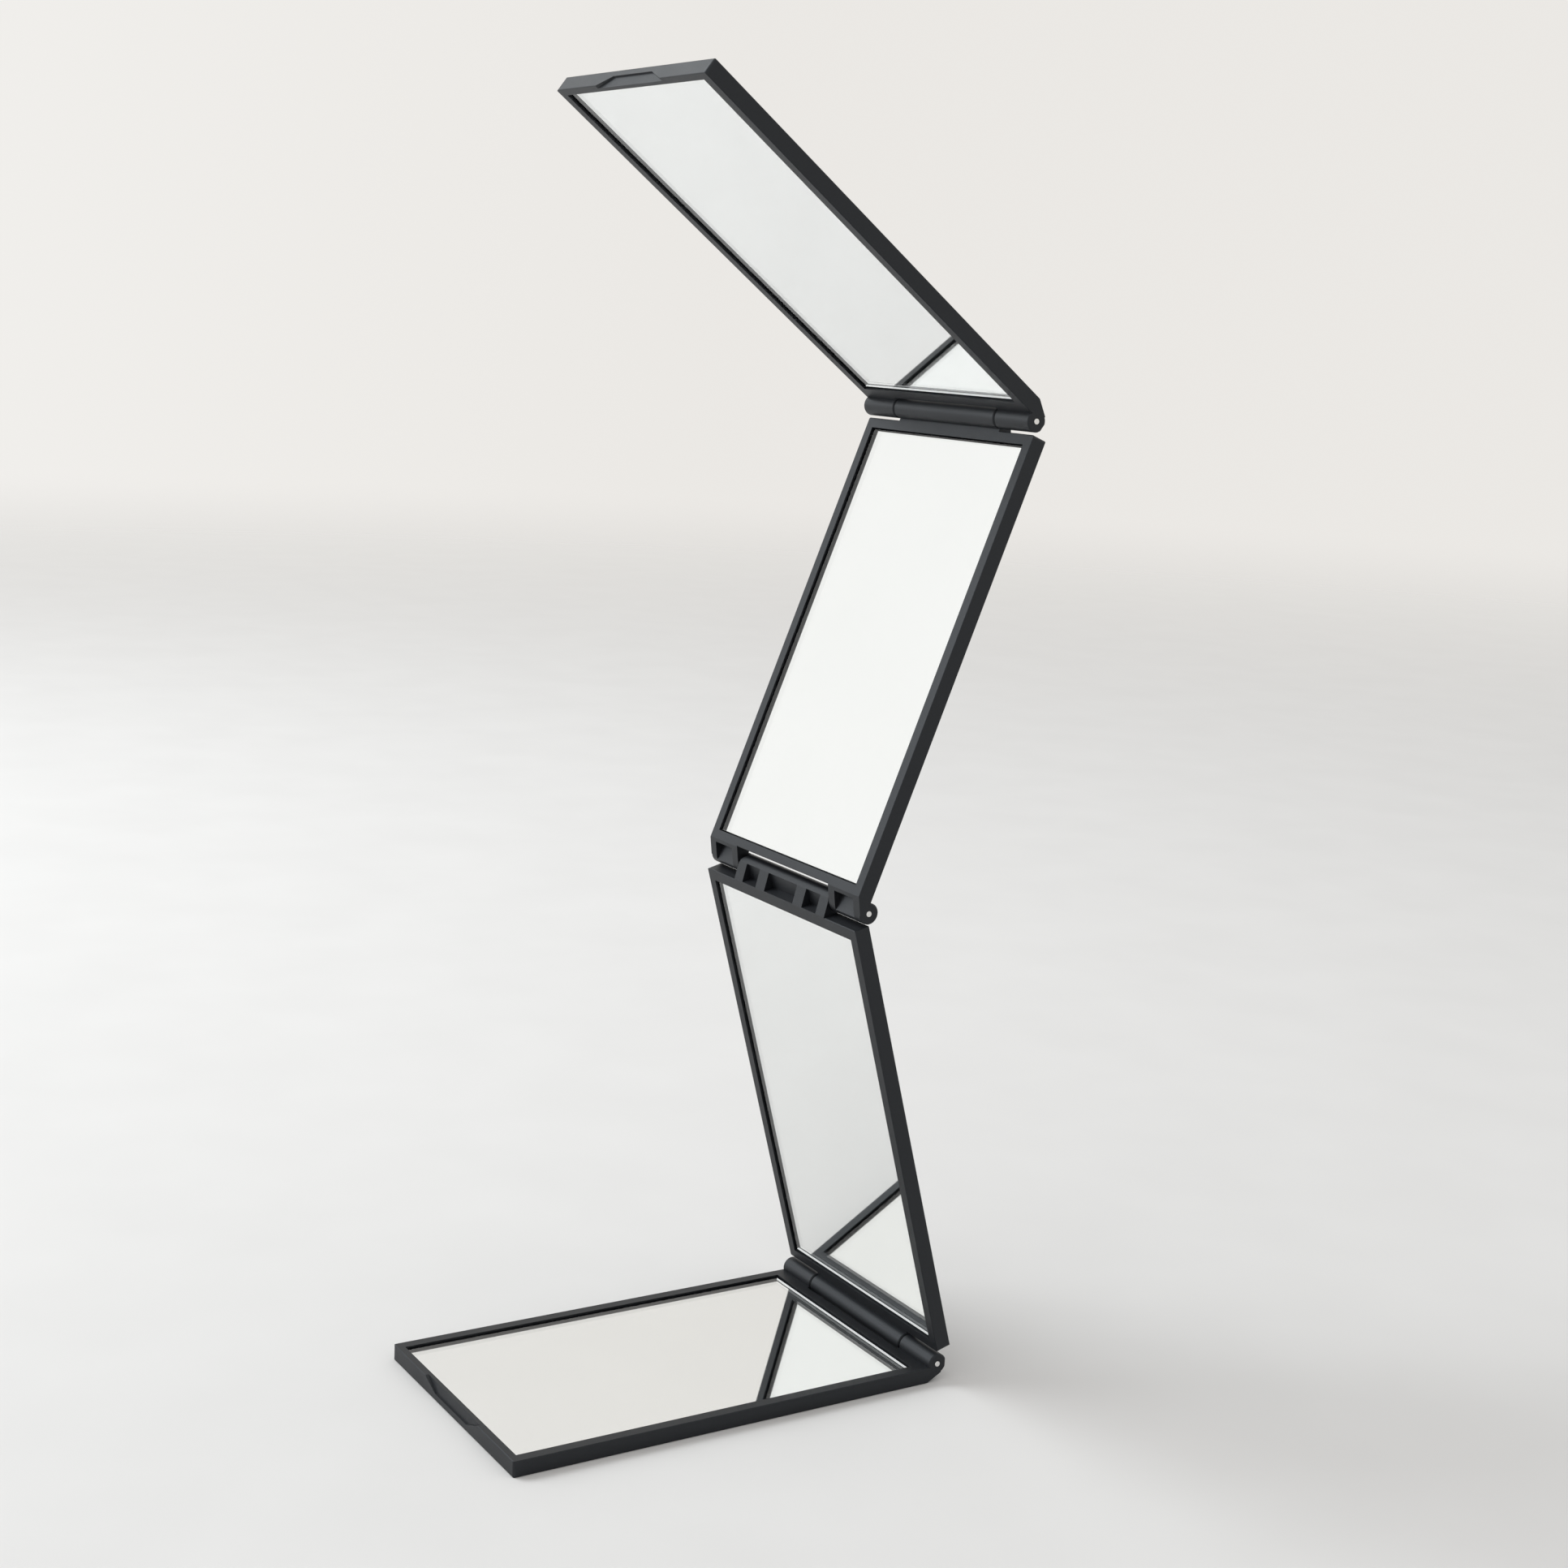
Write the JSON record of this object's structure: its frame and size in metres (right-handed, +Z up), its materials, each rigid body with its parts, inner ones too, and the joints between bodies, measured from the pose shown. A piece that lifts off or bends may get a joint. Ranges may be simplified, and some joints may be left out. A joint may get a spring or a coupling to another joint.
{
  "type": "four-way folding mirror",
  "caption": "Pocket mirror of hinged panels that unfolds into a free-standing zigzag, each panel a moulded frame with a glass mirror.",
  "frame": {"origin": "middle of the flat underside of the base frame, on the surface that the mirror stands on", "axes": "+X along the hinge axes, -Y towards the person looking into the mirror, +Z up"},
  "size_m": [0.07, 0.131, 0.3123],
  "materials": {
    "frame_plastic": "fine matt moulded texture, charcoal",
    "mirror_glass": "polished second-surface mirror, ground edge",
    "adhesive_pad": "thin double-sided foam tape",
    "pin_steel": "bright drawn steel, cut ends"
  },
  "bodies": {
    "base": {"base_frame": "frame_plastic", "base_mirror": "mirror_glass", "base_pad": "adhesive_pad", "low_pin_left": "pin_steel", "low_pin_right": "pin_steel"},
    "lower": {"lower_frame": "frame_plastic", "lower_mirror": "mirror_glass", "lower_pad": "adhesive_pad"},
    "upper": {"upper_frame": "frame_plastic", "upper_mirror": "mirror_glass", "upper_pad": "adhesive_pad", "mid_pin_left": "pin_steel", "mid_pin_right": "pin_steel"},
    "top": {"top_frame": "frame_plastic", "top_mirror": "mirror_glass", "top_pad": "adhesive_pad", "top_pin_left": "pin_steel", "top_pin_right": "pin_steel"}
  },
  "joints": [
    {"name": "low_hinge", "type": "hinge", "parent": "base", "child": "lower", "pos_m": [0, 0.0599, 0.0046], "axis": [-1, 0, 0], "range_deg": [-74.08, 105.92]},
    {"name": "mid_hinge", "type": "hinge", "parent": "lower", "child": "upper", "pos_m": [0, 0.03144, 0.12335], "axis": [1, 0, 0], "range_deg": [-142.74, 82.26]},
    {"name": "top_hinge", "type": "hinge", "parent": "upper", "child": "top", "pos_m": [0, 0.07099, 0.23887], "axis": [-1, 0, 0], "range_deg": [-105.44, 74.56]}
  ]
}
